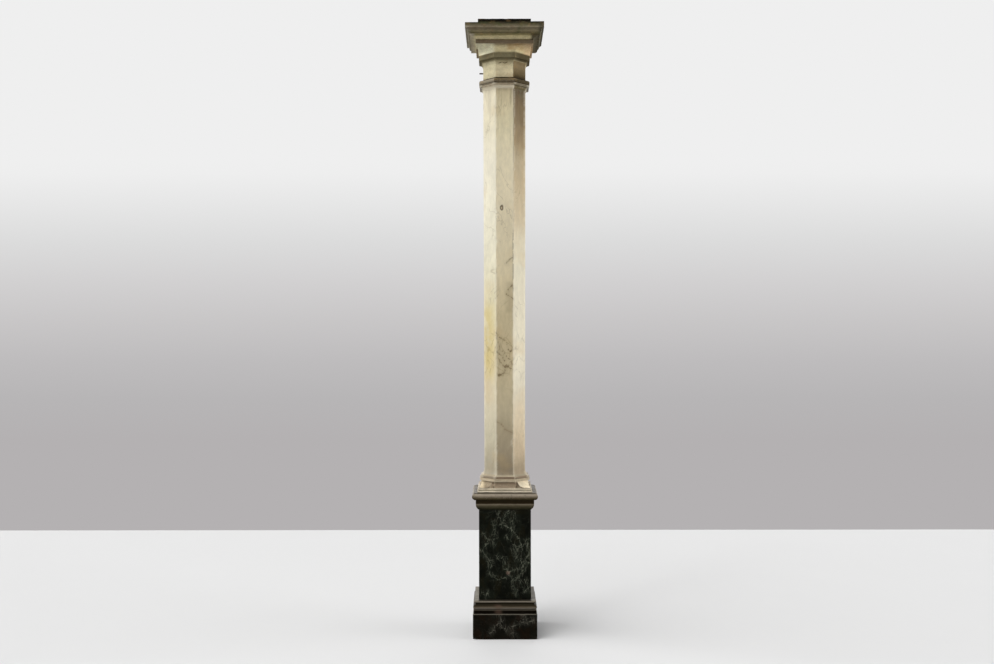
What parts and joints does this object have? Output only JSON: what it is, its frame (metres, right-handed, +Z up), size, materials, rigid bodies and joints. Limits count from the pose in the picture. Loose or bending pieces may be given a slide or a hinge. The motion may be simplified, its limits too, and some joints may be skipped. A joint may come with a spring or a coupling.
{
  "type": "octagonal marble column",
  "caption": "Slender octagonal marble column with a square moulded capital and base, standing on a moulded square pedestal.",
  "frame": {"origin": "centre of the plinth's underside, on the floor", "axes": "+Z up the column; the shaft's flat faces look along X and Y; the pictured front looks along -Y and the iron pin stands out along -X"},
  "size_m": [0.354, 0.354, 2.796],
  "materials": {
    "dark_veined_marble_foot": "honed, worn arrises, thin pale veins",
    "dark_green_marble": "semi-polished, pale green veins",
    "brown_marble": "honed, dusty on top",
    "white_marble_base": "weathered, dirt in the hollows",
    "white_marble_shaft": "weathered cream marble, brown veins",
    "weathered_marble_capital": "rough and stained, moss and lichen on top",
    "rusted_iron": "rusted"
  },
  "bodies": {
    "root": {"pedestal_base": "dark_veined_marble_foot", "pedestal_die": "dark_green_marble", "pedestal_cap": "brown_marble", "column_base": "white_marble_base", "shaft": "white_marble_shaft", "capital": "weathered_marble_capital", "iron_pin": "rusted_iron"}
  },
  "joints": []
}
